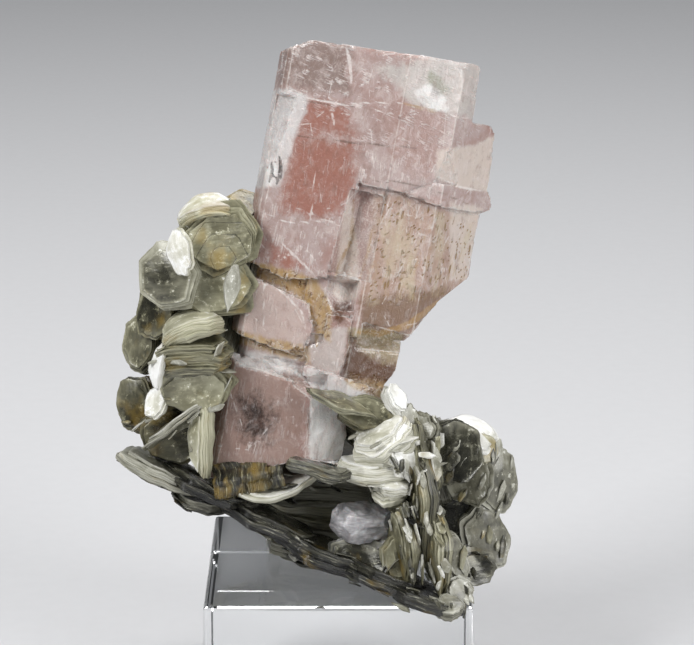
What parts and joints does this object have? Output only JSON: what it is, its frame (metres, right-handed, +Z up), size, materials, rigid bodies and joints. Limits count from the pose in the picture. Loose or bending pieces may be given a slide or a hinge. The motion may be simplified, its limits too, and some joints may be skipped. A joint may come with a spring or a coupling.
{
  "type": "fluorapatite specimen on muscovite",
  "caption": "Pink hexagonal apatite crystal with stepped, cracked slabs, leaning out of a cluster of curved silvery mica books, displayed on a square clear block.",
  "frame": {"origin": "centre of the clear block's underside", "axes": "+Z up, +X to the viewer's right, +Y away from the viewer"},
  "size_m": [0.0585, 0.0505, 0.0973],
  "materials": {
    "fluorapatite": "translucent pink crystal, satin faces with cloudy and frosted zones",
    "muscovite_books": "pearly grey-green mica, layered edges",
    "feldspar_grain": "matte, rough",
    "clear_block": "polished clear acrylic"
  },
  "bodies": {
    "root": {"fluorapatite": "fluorapatite", "muscovite_books": "muscovite_books", "feldspar_grain": "feldspar_grain", "clear_block": "clear_block"}
  },
  "joints": []
}
